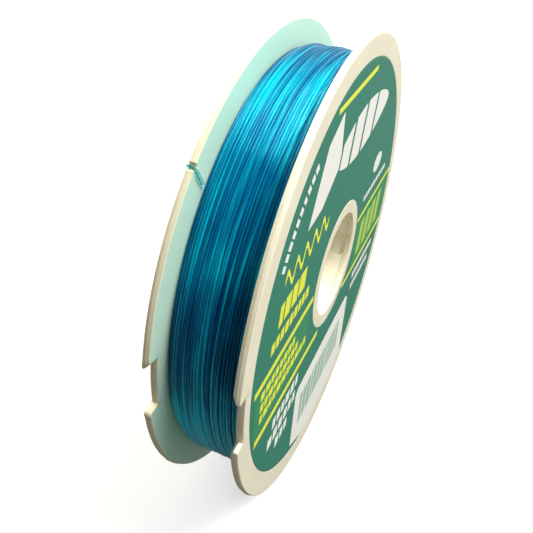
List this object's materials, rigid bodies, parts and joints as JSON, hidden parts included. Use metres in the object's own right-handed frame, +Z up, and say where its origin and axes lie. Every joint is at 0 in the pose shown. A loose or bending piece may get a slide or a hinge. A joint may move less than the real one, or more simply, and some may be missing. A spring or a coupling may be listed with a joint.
{
  "type": "fishing line spool",
  "caption": "Narrow fishing line spool with wide notched flanges, a through bore, a printed front label and a wound translucent line whose free end crosses one rim.",
  "frame": {"origin": "on the spool's axis, midway between the two flanges", "axes": "+Y along the bore from the labelled front flange to the rear flange, +Z up when the spool stands on its rims, with both rim notches on the -X side"},
  "size_m": [0.072, 0.0133, 0.072],
  "materials": {
    "front_flange": "satin off-white moulded plastic, slightly translucent",
    "rear_flange": "satin off-white moulded plastic, slightly translucent",
    "hub": "satin off-white moulded plastic",
    "front_label": "printed film label, satin green with yellow and white bars",
    "line": "glossy translucent blue monofilament",
    "tape": "thin clear adhesive tape"
  },
  "bodies": {
    "root": {"front_flange": "front_flange", "rear_flange": "rear_flange", "hub": "hub", "front_label": "front_label", "line_winding": "line", "line_start": "line", "line_tail": "line", "tail_tape": "tape"}
  },
  "joints": []
}
